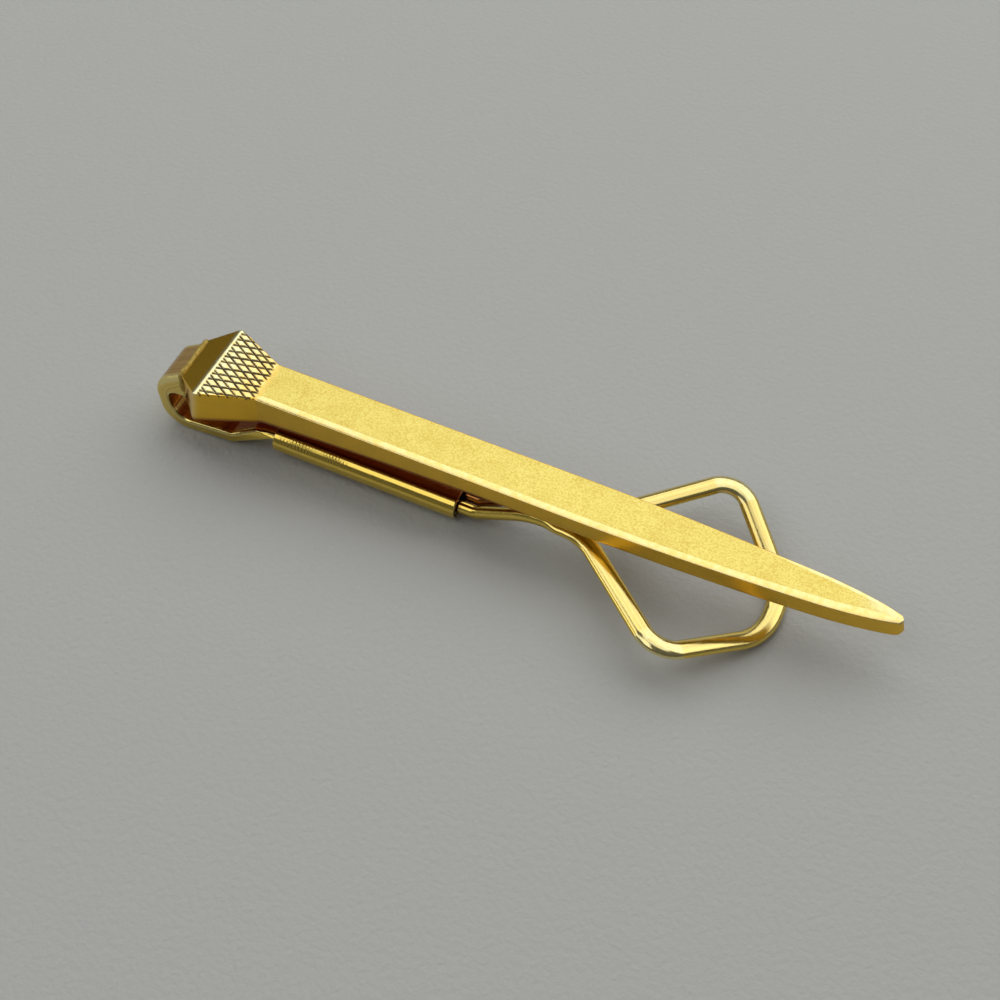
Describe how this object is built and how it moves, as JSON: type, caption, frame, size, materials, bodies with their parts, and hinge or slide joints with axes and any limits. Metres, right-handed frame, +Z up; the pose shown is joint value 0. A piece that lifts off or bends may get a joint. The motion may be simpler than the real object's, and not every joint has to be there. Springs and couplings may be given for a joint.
{
  "type": "tie clip",
  "caption": "Gold-plated tie clip: a horseshoe-nail bar with a cross-hatched head, soldered to a spring strip whose crimped sleeve holds a bent wire loop that grips the tie.",
  "frame": {"origin": "Bottom centre of the bounding box, on the table that the clip stands on.", "axes": "+X runs from the nail's head to its point, +Y across the bar, +Z up. As it stands the nail leans 1.9 degrees, point down."},
  "size_m": [0.0654, 0.0184, 0.008],
  "materials": {
    "satin_gold_plate": "satin gold plate over brass",
    "polished_gold_plate": "polished gold plate over brass",
    "plated_solder": "solder, gold plated with the rest"
  },
  "bodies": {
    "front": {"nail_bar": "satin_gold_plate", "solder_seam": "plated_solder"},
    "clip": {"back_strip": "polished_gold_plate", "crimp_sleeve": "polished_gold_plate", "wire_loop": "polished_gold_plate"}
  },
  "joints": [
    {"name": "clip_spring", "type": "hinge", "parent": "clip", "child": "front", "pos_m": [-0.0321, 0, 0.00305], "axis": [0, -1, 0], "range_deg": [0, 8], "stiffness_Nm_per_rad": 0.4, "deforming": ["back_strip"]}
  ]
}
